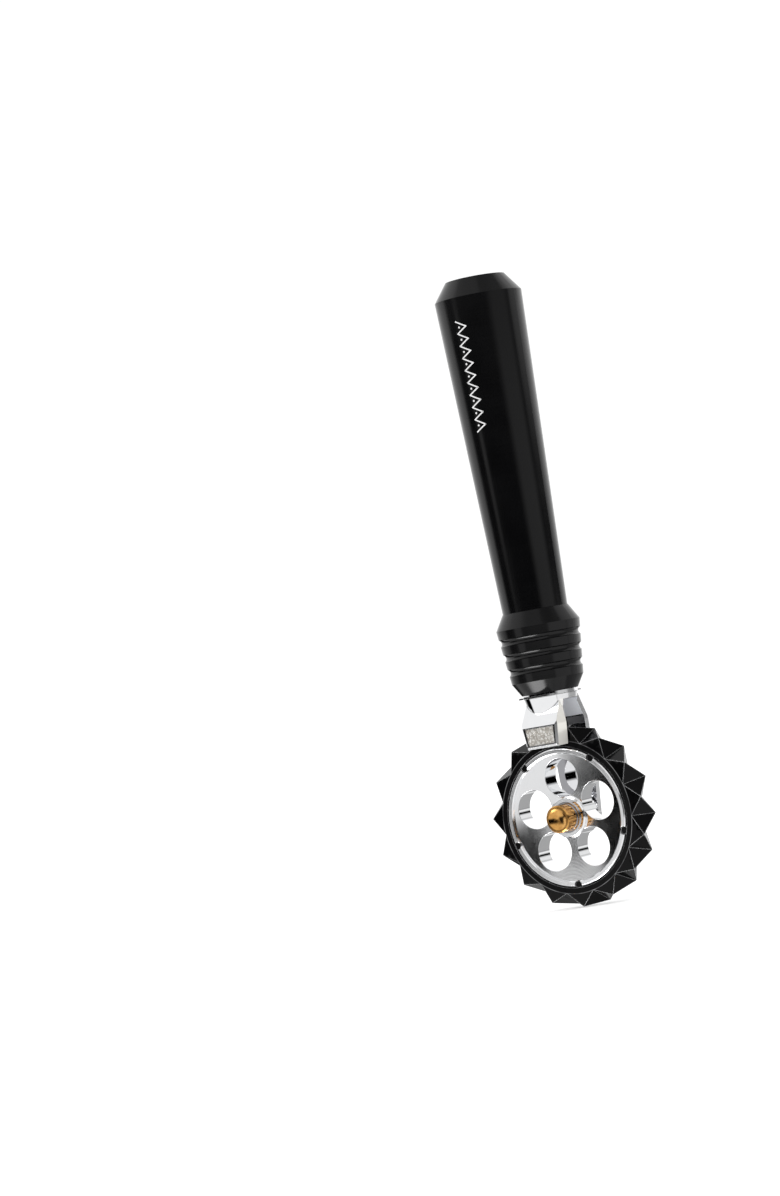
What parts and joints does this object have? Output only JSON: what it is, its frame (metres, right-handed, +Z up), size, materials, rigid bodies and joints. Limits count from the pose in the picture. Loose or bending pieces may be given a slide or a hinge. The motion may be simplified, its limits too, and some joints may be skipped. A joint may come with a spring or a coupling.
{
  "type": "pastry cutter wheel",
  "caption": "Hand-held pastry cutter: a tapered grip with a ridged collar and a chrome fork that carries a large zigzag cutting ring on a windowed hub, held by a knurled thumb screw.",
  "frame": {"origin": "on the grip's axis, level with the wheel's lowest tooth tip", "axes": "+Z up the grip from the wheel to the butt; the axle is along Y and the thumb knob faces -Y; +X completes the frame"},
  "size_m": [0.0596, 0.0292, 0.211],
  "materials": {
    "black_anodised": "satin black anodised",
    "chrome": "polished",
    "black_plastic": "glossy, moulded",
    "brass": "polished, knurled",
    "steel": "ground",
    "bearing_bronze": "turned",
    "seal_rubber": "matt"
  },
  "bodies": {
    "handle": {"handle_grip": "black_anodised", "collar": "black_anodised", "fork": "chrome", "tie_stud": "steel", "stud_insert": "steel", "handle_seal_ring": "seal_rubber", "neck_seal_ring": "seal_rubber", "arm_thread_bush": "steel", "rear_thrust_washer": "steel"},
    "wheel": {"hub": "chrome", "hub_bush": "bearing_bronze", "cutting_ring": "black_plastic"},
    "washer_stack": {"front_thrust_washer": "steel", "spring_washer": "steel"},
    "thumb_screw": {"thumb_knob": "brass", "axle_screw": "steel"}
  },
  "joints": [
    {"name": "wheel_spin", "type": "hinge", "parent": "handle", "child": "wheel", "pos_m": [0, 0.0005, 0.03], "axis": [0, 1, 0], "continuous": true},
    {"name": "thumb_screw_travel", "type": "slide", "parent": "handle", "child": "washer_stack", "axis": [0, -1, 0], "range_m": [0, 0.0032]},
    {"name": "thumb_screw_turn", "type": "hinge", "parent": "washer_stack", "child": "thumb_screw", "pos_m": [0, 0.0005, 0.03], "axis": [0, -1, 0], "range_deg": [0, 1441]}
  ],
  "couplings": [
    {"joint": "thumb_screw_turn", "follows": "thumb_screw_travel", "rad_per_m": 7854}
  ]
}
